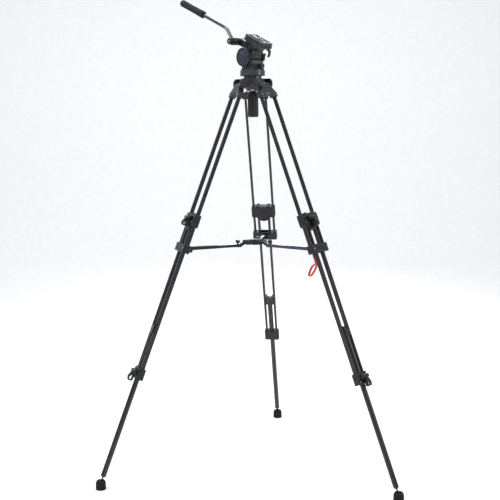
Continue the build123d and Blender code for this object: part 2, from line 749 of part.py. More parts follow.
with BuildPart() as tie_down_grip:
    with BuildSketch(Plane.XZ):
        with BuildLine():
            Polyline(
                (STUD_R + PIN_GAP, GRIP_TOP_Z + 3),
                (12, GRIP_TOP_Z + 3),
                (12, GRIP_TOP_Z),
                (GRIP_R - 1, GRIP_TOP_Z),
                (GRIP_R, GRIP_TOP_Z - 1),
                (GRIP_R, GRIP_END_Z + 3),
                (GRIP_R - 3, GRIP_END_Z),
                (0, GRIP_END_Z),
                (0, STUD_END_Z - 1),
                (STUD_R + PIN_GAP, STUD_END_Z - 1),
                close=True,
            )
        make_face()
    revolve(axis=Axis.Z)

# ---------------------------------------------------------------- pan stage, in the pan frame
def below(world_z):
    """Height in the head frame of a world height."""
    return world_z - TILT_Z


YOKE_BASE = below(HOUSING_TOP_Z)
KNOB_Z = (below(RING_TOP_Z) + YOKE_BASE) / 2 + 2
with BuildPart() as pan_housing:
    with BuildSketch(Plane.XZ):
        with BuildLine():
            Polyline(
                (SPINDLE_R + PIN_GAP, below(RING_TOP_Z) + 0.4),
                (HOUSING_R + 3, below(RING_TOP_Z) + 0.4),
                (HOUSING_R + 3, below(RING_TOP_Z) + 5),
                (HOUSING_R, below(RING_TOP_Z) + 8),
                (HOUSING_R, below(HOUSING_TOP_Z)),
                (0, below(HOUSING_TOP_Z)),
                (0, below(RING_TOP_Z) + 12.6),
                (SPINDLE_R + PIN_GAP, below(RING_TOP_Z) + 12.6),
                close=True,
            )
        make_face()
    revolve(axis=Axis.Z)
    # blind bore for the pan lock's thread
    with Locations(Plane(origin=(HOUSING_R - 7, 0, KNOB_Z), z_dir=(1, 0, 0))):
        Cylinder(4 + PIN_GAP, 20, align=(Align.CENTER, Align.CENTER, Align.MIN), mode=Mode.SUBTRACT)

with BuildPart() as tilt_yoke:
    # base cradle under the drum
    with Locations((0, 0, YOKE_BASE)):
        Box(60, 2 * YOKE_OUT, 11, align=(Align.CENTER, Align.CENTER, Align.MIN))
    with BuildSketch(Plane.XZ):
        Circle(YOKE_R)
        with BuildLine():
            Polyline((-28, YOKE_BASE), (28, YOKE_BASE), (YOKE_R, 0), (-YOKE_R, 0), close=True)
        make_face()
    extrude(amount=YOKE_OUT, both=True)
    with BuildSketch(Plane.XZ):
        Circle(DRUM_R + 0.7)
        with Locations((0, 30)):
            Rectangle(80, 60 + 2 * 12)
    extrude(amount=YOKE_IN, both=True, mode=Mode.SUBTRACT)
    with BuildSketch(Plane.XY.offset(YOKE_BASE)):
        Circle(HOUSING_R)
    extrude(amount=60, mode=Mode.INTERSECT)
    with Locations(Plane.XZ):
        Cylinder(SHAFT_R + PIN_GAP, 100, mode=Mode.SUBTRACT)

with BuildPart() as drag_dial:
    with BuildSketch(Plane.XZ.offset(YOKE_OUT + FACE_GAP)):
        Circle(DIAL_R)
        Circle(SHAFT_R + 0.6, mode=Mode.SUBTRACT)
    extrude(amount=DIAL_FACE - YOKE_OUT - FACE_GAP)
    chamfer(drag_dial.faces().sort_by(Axis.Y)[0].edges().sort_by(SortBy.RADIUS)[-1], 1.5)
    with BuildSketch(Plane.XZ.offset(DIAL_FACE - 1.2)):
        Circle(22.5)
    extrude(amount=2, mode=Mode.SUBTRACT)

with BuildPart() as tilt_lock_knob:
    with BuildSketch(Plane.XZ.offset(-YOKE_OUT - FACE_GAP)):
        Circle(16)
    extrude(amount=-8)
    with BuildSketch(Plane.XZ.offset(-YOKE_OUT - 8)):
        SlotOverall(34, 9, rotation=60)
    extrude(amount=-9)

with BuildPart() as pan_lock_knob:
    with Locations(Plane(origin=(HOUSING_R - 6, 0, KNOB_Z), z_dir=(1, 0, 0))):
        Cylinder(4, 12, align=(Align.CENTER, Align.CENTER, Align.MIN))
    with BuildSketch(Plane(origin=(HOUSING_R + 4, 0, KNOB_Z), x_dir=(0, 1, 0), z_dir=(1, 0, 0))):
        Circle(9)
        with PolarLocations(9.8, 8):
            Circle(1.6, mode=Mode.SUBTRACT)
    extrude(amount=12)

# ---------------------------------------------------------------- tilt stage, in the tilt frame
with BuildPart() as tilt_body:
    with Locations(Plane.XZ):
        Cylinder(DRUM_R, 2 * (YOKE_IN - FACE_GAP))
    with BuildSketch(Plane.XZ):
        with BuildLine():
            Polyline(
                (-16, 6),
                (16, 6),
                (18, 30),
                (34, PLATFORM_BASE),
                (-34, PLATFORM_BASE),
                (-18, 40),
                close=True,
            )
        make_face()
    extrude(amount=PLATFORM_W / 2 - 2, both=True)
    # rear arm and the rosette seat for the pan bar
    with BuildSketch(Plane.XZ):
        with BuildLine():
            Polyline(
                (-14, 26),
                (ROSETTE[0], ROSETTE[1] - 12),
                (ROSETTE[0], ROSETTE[1] + 12),
                (-14, PLATFORM_BASE - 4),
                close=True,
            )
        make_face()
        with Locations(ROSETTE):
            Circle(12)
    extrude(amount=PLATFORM_W / 2)
    with BuildSketch(Plane.XZ):
        with Locations(ROSETTE):
            Circle(ROSETTE_R)
    extrude(amount=ROSETTE_FACE)
    with Locations(Plane.XZ):
        Cylinder(SHAFT_R, 100, mode=Mode.SUBTRACT)

with BuildPart() as tilt_shaft:
    with Locations(Plane.XZ):
        Cylinder(SHAFT_R, 2 * YOKE_OUT - 2)

SLOT_BASE = PLATFORM_TOP - 5
with BuildPart() as platform:
    with BuildSketch(Plane.YZ.offset(PLATFORM_REAR)):
        with Locations((0, (PLATFORM_BASE + PLATFORM_TOP) / 2)):
            Rectangle(PLATFORM_W, PLATFORM_TOP - PLATFORM_BASE)
        with BuildLine():
            Polyline((-22, SLOT_BASE), (22, SLOT_BASE), (19, PLATFORM_TOP), (-19, PLATFORM_TOP), close=True)
        make_face(mode=Mode.SUBTRACT)
    extrude(amount=PLATFORM_FRONT - PLATFORM_REAR)
    chamfer(platform.edges().filter_by(Axis.Z), 3)

TAIL_TOP_W = 21.5 - 0.6 * (PLATE_BASE - SLOT_BASE - SLIDE_GAP)
with BuildPart() as release_plate:
    with BuildSketch(Plane.YZ.offset(PLATFORM_REAR + 2)):
        with BuildLine():
            Polyline(
                (-21.5, SLOT_BASE + SLIDE_GAP),
                (21.5, SLOT_BASE + SLIDE_GAP),
                (TAIL_TOP_W, PLATE_BASE),
                (-TAIL_TOP_W, PLATE_BASE),
                close=True,
            )
        make_face()
        with Locations((0, (PLATE_BASE + PLATE_TOP) / 2)):
            Rectangle(PLATFORM_W - 4, PLATE_TOP - PLATE_BASE)
    extrude(amount=PLATFORM_FRONT - PLATFORM_REAR - 4)
    top = release_plate.faces().sort_by(Axis.Z)[-1]
    chamfer(top.edges(), 1.5)
    for x, radius in ((SCREW_X, SHANK_R), (GUIDE_PIN_X, GUIDE_PIN_R)):
        with Locations((x, 0, PLATE_TOP)):
            Cylinder(radius, 40, mode=Mode.SUBTRACT)
    with Locations((SCREW_X, 0, SLOT_BASE)):
        Cylinder(7, 6, align=(Align.CENTER, Align.CENTER, Align.MIN), mode=Mode.SUBTRACT)

with BuildPart() as camera_screw:
    with Locations((SCREW_X, 0, SLOT_BASE + 1.5)):
        Cylinder(7, 4.5, align=(Align.CENTER, Align.CENTER, Align.MIN))
    with Locations((SCREW_X, 0, SLOT_BASE + 5)):
        Cylinder(SHANK_R, PLATE_TOP - SLOT_BASE - 5, align=(Align.CENTER, Align.CENTER, Align.MIN))
    with Locations((SCREW_X, 0, PLATE_TOP)):
        Cylinder(SCREW_R, SCREW_LENGTH, align=(Align.CENTER, Align.CENTER, Align.MIN))

with BuildPart() as guide_pin:
    with Locations((GUIDE_PIN_X, 0, SLOT_BASE + 1)):
        Cylinder(GUIDE_PIN_R, PLATE_TOP + 4 - SLOT_BASE - 1, align=(Align.CENTER, Align.CENTER, Align.MIN))

with BuildPart() as plate_lever:
    with Locations((48, 16, PLATFORM_BASE - 0.4)):
        Cylinder(6, 6, align=(Align.CENTER, Align.CENTER, Align.MAX))
    with BuildSketch(Plane.XZ.offset(-16)):
        with BuildLine():
            Polyline(
                (46, PLATFORM_BASE - 2),
                (46, PLATFORM_BASE - 6.4),
                (56, PLATFORM_BASE - 8),
                (60, 34),
                (57, 27),
                (62, 25),
                (65, 34),
                (60.5, PLATFORM_BASE - 3),
                close=True,
            )
        make_face()
    extrude(amount=4, both=True)

CLAMP_FACE = ROSETTE_FACE + SLIDE_GAP
CLAMP_W = 22.0
with BuildPart() as bar_knob:
    with BuildSketch(Plane.XZ.offset(CLAMP_FACE + CLAMP_W + 0.4)):
        with Locations(ROSETTE):
            Circle(11)
            with PolarLocations(11.8, 8):
                Circle(1.8, mode=Mode.SUBTRACT)
    extrude(amount=13)

with BuildPart() as pan_bar:
    with BuildLine() as bar_line:
        FilletPolyline(
            (ROSETTE[0], BAR_Y, ROSETTE[1]),
            (BAR_BEND[0], BAR_Y, BAR_BEND[1]),
            (BAR_END[0] + 3, BAR_Y, BAR_END[1]),
            radius=40,
        )
    with BuildSketch(Plane(origin=bar_line.line @ 0, z_dir=bar_line.line % 0)):
        Circle(BAR_R)
    sweep()

with BuildPart() as bar_clamp:
    with BuildSketch(Plane.XZ.offset(CLAMP_FACE)):
        with Locations(ROSETTE):
            Circle(ROSETTE_R + 0.5)
    extrude(amount=CLAMP_W)
    add(pan_bar.part, mode=Mode.SUBTRACT)

GRIP_AXIS = Vector(BAR_END[0] - BAR_BEND[0], 0, BAR_END[1] - BAR_BEND[1]).normalized()
with BuildPart() as bar_grip:
    grip_start = Vector(BAR_END[0], BAR_Y, BAR_END[1]) - GRIP_AXIS * BAR_GRIP_LENGTH
    with BuildSketch(Plane(origin=grip_start, z_dir=GRIP_AXIS)):
        Circle(BAR_GRIP_R)
    extrude(amount=BAR_GRIP_LENGTH)
    fillet(bar_grip.edges().sort_by(Axis.X)[0], 6)
    fillet(bar_grip.edges().sort_by(Axis.X)[-1], 4)
    add(pan_bar.part, mode=Mode.SUBTRACT)

# ---------------------------------------------------------------- ribbon tag on the front leg
RIBBON_T = 1.2
RIBBON_W = 7.0
RIBBON_X = 16.0
RIBBON_TOP_S = 606.0
RIBBON_NECK_S = 652.0
RIBBON_HANG = Vector(13.0, -34.0, -34.0)
RIBBON_Y = -(BRACKET_SIZE[1] + RIBBON_T) / 2
with BuildPart() as ribbon:
    # strip down from the bracket's inner face
    with Locations((RIBBON_X, RIBBON_Y, -RIBBON_TOP_S)):
        Box(
            RIBBON_W,
            RIBBON_T,
            RIBBON_NECK_S - RIBBON_TOP_S + 1,
            align=(Align.CENTER, Align.CENTER, Align.MAX),
        )
    # free end, hanging clear of the leg
    neck = Plane(
        origin=(RIBBON_X, RIBBON_Y, -RIBBON_NECK_S),
        x_dir=RIBBON_HANG.cross(Vector(0, 1, 0)),
        z_dir=RIBBON_HANG,
    )
    with BuildSketch(neck):
        Rectangle(RIBBON_W, RIBBON_T)
    extrude(amount=RIBBON_HANG.length)

# ---------------------------------------------------------------- export
LEG_PIECES = {
    "shoulder": [shoulder.part, hinge_pin.part],
    "upper_tubes": [upper_tubes.part],
    "spreader_bracket": [bracket.part, fork_pin.part],
    "middle_tubes": [middle_tubes.part],
    "clamp_bridge": [bridge.part, bridge_pin.part, bridge_screw.part],
    "collar": [collar.part, collar_pin.part],
    "upper_lever": [upper_lever],
    "lower_lever": [lower_lever],
    "lower_tube": [guide.part, lower_tube.part, ball_stud.part.moved(Location((0, 0, -BALL_S)))],
}
for leg, azimuth in LEG_AZIMUTHS.items():
    in_leg = leg_frame(azimuth).location
    in_arm = arm_frame(azimuth).location
    leg_slider = front_slider if leg == "front" else slider
    for piece, shapes in LEG_PIECES.items():
        save(f"{leg}_{piece}", *[shape.moved(in_leg) for shape in shapes])
    save(f"{leg}_foot", foot.part.moved(foot_frame(azimuth).location))
    save(f"{leg}_spreader_arm", arm.part.moved(in_arm))
    save(f"{leg}_spreader_slider", leg_slider.part.moved(in_arm))
    save(f"{leg}_spreader_knob", spreader_knob.part.moved(in_arm))

save("spreader_hub", hub.part, hub_pin.part)
save("tag_ribbon", ribbon.part.moved(leg_frame(LEG_AZIMUTHS["front"]).location))
save("crown", crown.part)
save("pressure_washer", pressure_washer.part)
save("half_ball", half_ball.part)
save("tie_down_grip", tie_down_grip.part)

IN_PAN = PAN_FRAME.location
save("pan_housing", pan_housing.part.moved(IN_PAN))
save("tilt_yoke", tilt_yoke.part.moved(IN_PAN))
save("drag_dial", drag_dial.part.moved(IN_PAN))
save("tilt_lock_knob", tilt_lock_knob.part.moved(IN_PAN))
save("pan_lock_knob", pan_lock_knob.part.moved(IN_PAN))

IN_TILT = TILT_FRAME.location
save("tilt_body", tilt_body.part.moved(IN_TILT))
save("tilt_shaft", tilt_shaft.part.moved(IN_TILT))
save("platform", platform.part.moved(IN_TILT))
save("release_plate", release_plate.part.moved(IN_TILT))
save("camera_screws", camera_screw.part.moved(IN_TILT), guide_pin.part.moved(IN_TILT))
save("plate_lever", plate_lever.part.moved(IN_TILT))
save("bar_clamp", bar_clamp.part.moved(IN_TILT))
save("bar_knob", bar_knob.part.moved(IN_TILT))
save("pan_bar", pan_bar.part.moved(IN_TILT))
save("bar_grip", bar_grip.part.moved(IN_TILT))
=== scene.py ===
import bpy
import bmesh
import json
from math import cos, sin, pi, radians, atan2, hypot
from mathutils import Matrix, Vector


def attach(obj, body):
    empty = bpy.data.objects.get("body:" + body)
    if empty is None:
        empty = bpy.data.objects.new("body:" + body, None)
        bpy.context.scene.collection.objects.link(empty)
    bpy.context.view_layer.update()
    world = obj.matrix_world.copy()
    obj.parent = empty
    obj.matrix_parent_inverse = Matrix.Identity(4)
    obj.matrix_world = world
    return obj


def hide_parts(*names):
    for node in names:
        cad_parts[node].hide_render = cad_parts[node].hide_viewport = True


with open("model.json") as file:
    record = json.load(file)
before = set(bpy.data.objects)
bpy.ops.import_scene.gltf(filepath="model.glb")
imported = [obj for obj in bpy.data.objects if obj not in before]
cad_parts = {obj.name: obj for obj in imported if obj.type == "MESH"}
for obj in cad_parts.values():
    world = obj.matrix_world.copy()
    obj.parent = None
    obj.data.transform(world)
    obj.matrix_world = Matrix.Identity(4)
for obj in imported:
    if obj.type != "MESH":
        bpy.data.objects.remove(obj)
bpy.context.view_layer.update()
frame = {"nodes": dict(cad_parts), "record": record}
scene = bpy.context.scene

# ------------------------------------------------------------------ dimensions shared with the CAD, mm
MM = 0.001  # metres
LEG_AZIMUTHS = {"front": -90.0, "right": 150.0, "left": 30.0}
LEG_TILT = radians(21.66)
PIVOT_R = 50.0
PIVOT_Z = 1391.4
BRACKET_S = 604.0
FORK_Y = -27.0
BALL_Z = 21.7
BALL_S = (PIVOT_Z - BALL_Z) / cos(LEG_TILT)
BALL_REACH = PIVOT_R + BALL_S * sin(LEG_TILT)
FORK_RADIUS = PIVOT_R + BRACKET_S * sin(LEG_TILT) + FORK_Y * cos(LEG_TILT)
FORK_Z = PIVOT_Z - BRACKET_S * cos(LEG_TILT) + FORK_Y * sin(LEG_TILT)
KNOB_X = 181.0
PAN_AZIMUTH = -100.4
TILT_Z = 1489.5
NOSE_DOWN = radians(25.0)
BAR_BEND = Vector((-117.0, -50.0, 62.0))
BAR_END = Vector((-397.0, -50.0, 56.0))
GRIP_LENGTH = 143.0
# the row origin is the front foot's sole; the pan axis stands here
AXIS_AT = Vector((0, BALL_REACH, 0))


def radial(azimuth):
    return Vector((cos(radians(azimuth)), sin(radians(azimuth)), 0.0))


def frame_of(origin, x, z):
    """4x4 of a frame whose origin is in millimetres; pieces are drawn in millimetres too."""
    z = Vector(z).normalized()
    x = Vector(x)
    x = (x - z * x.dot(z)).normalized()
    y = z.cross(x)
    rot = Matrix((x, y, z)).transposed().to_4x4()
    return Matrix.Scale(MM, 4) @ Matrix.Translation(Vector(origin) + AXIS_AT) @ rot


def leg_frame(azimuth):
    """Origin at the leg's hinge, Z up the leg, Y outward and X across it."""
    out = radial(azimuth)
    up = Vector((0, 0, cos(LEG_TILT))) - out * sin(LEG_TILT)
    return frame_of(out * PIVOT_R + Vector((0, 0, PIVOT_Z)), (out.y, -out.x, 0), up)


def arm_frame(azimuth):
    """Origin at the spreader arm's fork pin, X along the arm towards the middle."""
    out = radial(azimuth)
    return frame_of(out * FORK_RADIUS + Vector((0, 0, FORK_Z)), -out, (0, 0, 1))


def foot_frame(azimuth):
    """Origin at the middle of the foot's ball."""
    out = radial(azimuth)
    return frame_of(out * BALL_REACH + Vector((0, 0, BALL_Z)), (out.y, -out.x, 0), (0, 0, 1))


FORWARD = radial(PAN_AZIMUTH)
PAN = frame_of((0, 0, TILT_Z), FORWARD, (0, 0, 1))
TILT = frame_of(
    (0, 0, TILT_Z),
    FORWARD * cos(NOSE_DOWN) - Vector((0, 0, sin(NOSE_DOWN))),
    FORWARD * sin(NOSE_DOWN) + Vector((0, 0, cos(NOSE_DOWN))),
)
CENTRE = Matrix.Scale(MM, 4) @ Matrix.Translation(AXIS_AT)


def moved(place, x=0.0, y=0.0, z=0.0, axis=None):
    """A frame shifted in its own millimetres, with its Z along axis if given."""
    out = place @ Matrix.Translation((x, y, z))
    if axis:
        out = out @ Vector((0, 0, 1)).rotation_difference(Vector(axis)).to_matrix().to_4x4()
    return out


# ------------------------------------------------------------------ materials
MARKS_SCALE = 28.0
RUBBED = (0.34, 0.34, 0.37, 1)
RUBBED_FROM, RUBBED_TO = 0.53, 0.62
THREAD_SCALE = 420.0


def noise(tree, where, scale, detail):
    node = tree.nodes.new("ShaderNodeTexNoise")
    node.inputs["Scale"].default_value = scale
    node.inputs["Detail"].default_value = detail
    tree.links.new(where.outputs["Object"], node.inputs["Vector"])
    return node.outputs["Fac"]


def combined(tree, a, b, operation):
    node = tree.nodes.new("ShaderNodeMath")
    node.operation = operation
    tree.links.new(a, node.inputs[0])
    tree.links.new(b, node.inputs[1])
    return node.outputs[0]


def ranged(tree, value, low, high, to_low, to_high):
    """Maps the range low to high onto another."""
    node = tree.nodes.new("ShaderNodeMapRange")
    node.inputs["From Min"].default_value = low
    node.inputs["From Max"].default_value = high
    node.inputs["To Min"].default_value = to_low
    node.inputs["To Max"].default_value = to_high
    tree.links.new(value, node.inputs["Value"])
    return node.outputs["Result"]


def rubbed_edges(tree, colour, marks, wear):
    """Lightens the sharp edges, unevenly."""
    shape = tree.nodes.new("ShaderNodeNewGeometry")
    edges = ranged(tree, shape.outputs["Pointiness"], RUBBED_FROM, RUBBED_TO, 0.0, wear)
    mix = tree.nodes.new("ShaderNodeMix")
    mix.data_type = "RGBA"
    mix.inputs["B"].default_value = RUBBED
    tree.links.new(combined(tree, edges, marks, "MULTIPLY"), mix.inputs["Factor"])
    tree.links.new(colour, mix.inputs["A"])
    return mix.outputs["Result"]


def finish(
    name, dark, light, rough, metallic=0.0, grain=900.0, bump=0.00004, wear=0.0, coat=0.0, spec=0.5, sheen=0.0
):
    """Fine grain in colour and relief, broad handling marks in the gloss, and worn edges."""
    mat = bpy.data.materials.new(name)
    mat.use_nodes = True
    tree = mat.node_tree
    shader = tree.nodes["Principled BSDF"]
    shader.inputs["Metallic"].default_value = metallic
    shader.inputs["Specular IOR Level"].default_value = spec
    shader.inputs["Coat Weight"].default_value = coat
    shader.inputs["Coat Roughness"].default_value = 0.12
    shader.inputs["Sheen Weight"].default_value = sheen
    where = tree.nodes.new("ShaderNodeTexCoord")
    fine = noise(tree, where, grain, 5.0)
    marks = noise(tree, where, MARKS_SCALE, 6.0)
    ramp = tree.nodes.new("ShaderNodeValToRGB")
    ramp.color_ramp.elements[0].position = 0.12
    ramp.color_ramp.elements[0].color = (*dark, 1)
    ramp.color_ramp.elements[1].position = 0.42
    ramp.color_ramp.elements[1].color = (*light, 1)
    tree.links.new(combined(tree, fine, marks, "MULTIPLY"), ramp.inputs["Fac"])
    colour = ramp.outputs["Color"]
    if wear:
        colour = rubbed_edges(tree, colour, marks, wear)
    tree.links.new(colour, shader.inputs["Base Color"])
    tree.links.new(ranged(tree, marks, 0.25, 0.75, *rough), shader.inputs["Roughness"])
    relief = tree.nodes.new("ShaderNodeBump")
    relief.inputs["Distance"].default_value = bump
    relief.inputs["Strength"].default_value = 0.5
    tree.links.new(fine, relief.inputs["Height"])
    tree.links.new(relief.outputs["Normal"], shader.inputs["Normal"])
    return mat


def woven(name, dark, light):
    """Ribbon weave: two crossed sets of threads, from the piece's own coordinates."""
    mat = finish(name, dark, light, (0.6, 0.85), grain=1500.0, bump=0.00003, sheen=0.4)
    tree = mat.node_tree
    where = next(n for n in tree.nodes if n.type == "TEX_COORD")
    relief = next(n for n in tree.nodes if n.type == "BUMP")
    threads = []
    for turn in (0.0, pi / 2):
        place = tree.nodes.new("ShaderNodeMapping")
        place.inputs["Rotation"].default_value = (0.4, turn, 0.5)
        tree.links.new(where.outputs["Object"], place.inputs["Vector"])
        thread = tree.nodes.new("ShaderNodeTexWave")
        thread.inputs["Scale"].default_value = THREAD_SCALE
        thread.inputs["Distortion"].default_value = 0.6
        tree.links.new(place.outputs["Vector"], thread.inputs["Vector"])
        threads.append(thread.outputs["Fac"])
    tree.links.new(combined(tree, *threads, "MAXIMUM"), relief.inputs["Height"])
    return mat


MATERIALS = {
    "black_anodised_tube": finish(
        "black_anodised_tube", (0.003, 0.003, 0.005), (0.011, 0.011, 0.017), (0.2, 0.32), grain=1400.0,
        bump=0.000006, spec=0.5,
    ),
    "black_casting": finish(
        "black_casting", (0.004, 0.004, 0.006), (0.015, 0.015, 0.02), (0.3, 0.46), grain=1100.0,
        bump=0.00004, wear=0.06, spec=0.45,
    ),
    "black_plastic": finish(
        "black_plastic", (0.003, 0.003, 0.004), (0.011, 0.011, 0.014), (0.34, 0.5), grain=1600.0,
        bump=0.00004, spec=0.4,
    ),
    "rubber": finish(
        "rubber", (0.004, 0.004, 0.004), (0.013, 0.013, 0.014), (0.7, 0.9), grain=1200.0,
        bump=0.00008, spec=0.25,
    ),
    "grip_rubber": finish(
        "grip_rubber", (0.004, 0.004, 0.004), (0.013, 0.013, 0.014), (0.65, 0.85), grain=900.0,
        bump=0.0001, spec=0.3,
    ),
    "bright_steel": finish(
        "bright_steel", (0.42, 0.42, 0.45), (0.75, 0.75, 0.78), (0.16, 0.32), metallic=1.0, grain=2200.0,
        bump=0.00001,
    ),
    "gloss_black_tube": finish(
        "gloss_black_tube", (0.004, 0.004, 0.005), (0.012, 0.012, 0.015), (0.08, 0.16), grain=1400.0,
        bump=0.000006, coat=0.6, spec=0.6,
    ),
    "red_ribbon": woven("red_ribbon", (0.5, 0.006, 0.012), (0.85, 0.02, 0.03)),
}
GREY_CASTING = finish(
    "grey_casting", (0.008, 0.008, 0.012), (0.03, 0.031, 0.044), (0.24, 0.38), grain=1100.0,
    bump=0.00003, wear=0.06, spec=0.6,
)
# painted highlight: a lighter, lilac-tinted copy of the dark arm finish, standing in for the light on the
# front spreader arm and its slider
PAINTED_LIT_ARM = finish(
    "painted_lit_arm", (0.03, 0.03, 0.05), (0.09, 0.09, 0.14), (0.26, 0.4), metallic=0.3, grain=1500.0,
    bump=0.000006,
)
BLUE_DISC = finish(
    "blue_disc", (0.003, 0.004, 0.014), (0.008, 0.010, 0.034), (0.25, 0.38), grain=1500.0,
    bump=0.00002, coat=0.3,
)
WHITE_MARK = finish(
    "white_mark", (0.3, 0.3, 0.32), (0.5, 0.5, 0.52), (0.5, 0.6), grain=1800.0, bump=0.00001
)

SLOT_OF = {part["node"]: part["material_slot"] for part in frame["record"]["subparts"]}
NODE_LOOKS = {
    "half_ball": GREY_CASTING,
    "tilt_yoke": GREY_CASTING,
    # the front spreader arm and slider carry the painted highlight finish; the other two arms keep their slot
    # finish
    "front_spreader_arm": PAINTED_LIT_ARM,
    "front_spreader_slider": PAINTED_LIT_ARM,
}
EDGE_WIDTH = 0.0005  # metres


def dress_cad_nodes():
    """Gives every CAD node its material and softly broken edges."""
    for node, obj in frame["nodes"].items():
        obj.data.materials.clear()
        obj.data.materials.append(NODE_LOOKS.get(node, MATERIALS[SLOT_OF[node]]))
        edge = obj.modifiers.new("edge", "BEVEL")
        edge.width = EDGE_WIDTH
        edge.segments = 2
        edge.limit_method = "ANGLE"
        edge.angle_limit = radians(38)
        edge.harden_normals = False


# ------------------------------------------------------------------ mesh helpers
def piece(name, bm, place, material, body, replaces=(), smooth=40.0):
    """Finishes a bmesh drawn in millimetres as an object in the row frame, riding on a body."""
    bmesh.ops.remove_doubles(bm, verts=bm.verts, dist=1e-4)
    bmesh.ops.recalc_face_normals(bm, faces=bm.faces)
    mesh = bpy.data.meshes.new(name)
    bm.to_mesh(mesh)
    bm.free()
    mesh.transform(place)
    for poly in mesh.polygons:
        poly.use_smooth = True
    mesh.set_sharp_from_angle(angle=radians(smooth))
    obj = bpy.data.objects.new(name, mesh)
    scene.collection.objects.link(obj)
    mesh.materials.append(material)
    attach(obj, body)
    if replaces:
        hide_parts(*replaces)
    return obj


def lathe(profile, around=64, radius_at=None):
    """Turns (r, z) points about Z. radius_at(r, z, angle) can flute or knurl it."""
    bm = bmesh.new()
    rings = []
    for r, z in profile:
        if r < 1e-6:
            rings.append([bm.verts.new((0, 0, z))])
            continue
        ring = []
        for i in range(around):
            a = 2 * pi * i / around
            rr = radius_at(r, z, a) if radius_at else r
            ring.append(bm.verts.new((rr * cos(a), rr * sin(a), z)))
        rings.append(ring)
    for low, high in zip(rings, rings[1:]):
        for i in range(around):
            j = (i + 1) % around
            if len(low) == 1 and len(high) == 1:
                continue
            if len(low) == 1:
                bm.faces.new((low[0], high[j], high[i]))
            elif len(high) == 1:
                bm.faces.new((low[i], low[j], high[0]))
            else:
                bm.faces.new((low[i], low[j], high[j], high[i]))
    return bm


def round_profile(points, radius=0.8, steps=3):
    """Rounds the corners of an open (r, z) profile."""
    out = [points[0]]
    for before, at, after in zip(points, points[1:], points[2:]):
        a = Vector(before) - Vector(at)
        b = Vector(after) - Vector(at)
        if a.length < 1e-6 or b.length < 1e-6:
            continue
        cut = min(radius, a.length * 0.45, b.length * 0.45)
        start = Vector(at) + a.normalized() * cut
        end = Vector(at) + b.normalized() * cut
        for k in range(steps + 1):
            t = k / steps
            p = start * (1 - t) ** 2 + Vector(at) * 2 * t * (1 - t) + end * t**2
            out.append((p.x, p.y))
    out.append(points[-1])
    return out


def fluted(count, depth, low, high, sharp=2.0):
    """Radius rule: count scallops between two heights."""

    def rule(r, z, angle):
        if not low <= z <= high:
            return r
        return r - depth * (0.5 + 0.5 * cos(count * angle)) ** sharp

    return rule


def block(size, bevel):
    """A box in millimetres with rounded edges, about its own middle."""
    bm = bmesh.new()
    bmesh.ops.create_cube(bm, size=1)
    bmesh.ops.scale(bm, vec=size, verts=bm.verts)
    bmesh.ops.bevel(bm, geom=bm.edges[:], offset=bevel, segments=2, affect="EDGES")
    return bm


def socket_screw(name, place, body, r=3.0, h=2.0):
    """A socket-head screw: a rounded head with a hexagon recess."""
    bm = lathe(round_profile([(0, 0), (r, 0), (r, h), (r * 0.55, h)], 0.4), 32)
    ring = [v for v in bm.verts if abs(v.co.z - h) < 1e-4 and abs(hypot(v.co.x, v.co.y) - r * 0.55) < 1e-3]
    ring.sort(key=lambda v: atan2(v.co.y, v.co.x))
    floor = []
    for v in ring:
        a = atan2(v.co.y, v.co.x)
        flat = cos(pi / 6) / cos((a % (pi / 3)) - pi / 6)
        v.co.x, v.co.y = r * 0.55 * flat * cos(a), r * 0.55 * flat * sin(a)
        floor.append(bm.verts.new((v.co.x, v.co.y, h - r * 0.5)))
    for i in range(len(ring)):
        j = (i + 1) % len(ring)
        bm.faces.new((ring[i], ring[j], floor[j], floor[i]))
    bm.faces.new(floor)
    return piece(name, bm, place, MATERIALS["bright_steel"], body)


# ------------------------------------------------------------------ legs
FOOT_R = 18.0
FOOT_GROOVE_R = 17.3
SOCKET_R = 8.06
SIDES = ((-1, "a"), (1, "b"))
# name, body, distance to either side, face it sits on, distance down the leg, head radius
LEG_SCREWS = (
    ("shoulder", "leg", 37, 9.4, 39, 2.6),
    ("bracket", "leg", 37, 13.4, BRACKET_S, 2.6),
    ("bridge", "middle", 30, 11.4, 508, 2.4),
    ("collar", "middle", 22, 12.9, 1080, 2.4),
)
INLAY_X, INLAY_Y = 16.4, 5.4
INLAY_RISE, INLAY_FALL = 0.35, 0.25


def rubber_foot(leg, azimuth):
    """Ribbed side, soft shoulder, tread edge, and the socket round the leg's ball."""
    profile = [(0, -BALL_Z), (15.4, -BALL_Z), (17.6, -20.2)]
    for k in range(4):
        z = -17.6 + 3.6 * k
        profile += [(FOOT_R, z), (FOOT_R, z + 1.7), (FOOT_GROOVE_R, z + 2.1), (FOOT_GROOVE_R, z + 3.2)]
    profile += [(FOOT_R, -2.6), (17.6, 2.6), (16.2, 6.4), (13.9, 10.3), (12.3, 10.3), (6.2, 5.2)]
    profile += [(SOCKET_R * cos(radians(a)), SOCKET_R * sin(radians(a))) for a in (36, 20, 0, -20, -40, -60)]
    profile.append((0, -8.2))
    piece(
        f"{leg}_rubber_foot", lathe(round_profile(profile, 0.5, 2), 72), foot_frame(azimuth),
        MATERIALS["rubber"], f"{leg}_foot", (f"{leg}_foot",),
    )


def arm_knob(leg, azimuth):
    """Fluted spreader knob with its shank and a bright cap screw."""
    place = moved(arm_frame(azimuth), x=KNOB_X)
    profile = [
        (0, 12.25), (3.5, 12.25), (3.5, 16.25), (7.2, 16.25), (8.0, 17.2), (8.0, 25.2), (7.2, 26.2),
        (4.4, 26.25), (4.0, 25.6), (0, 25.6),
    ]
    piece(
        f"{leg}_arm_knob", lathe(round_profile(profile, 0.5), 96, fluted(6, 1.2, 16.6, 25.9)), place,
        MATERIALS["black_plastic"], f"{leg}_spreader_knob", (f"{leg}_spreader_knob",),
    )
    socket_screw(f"{leg}_knob_screw", moved(place, z=25.3), f"{leg}_spreader_knob", 3.2, 1.0)


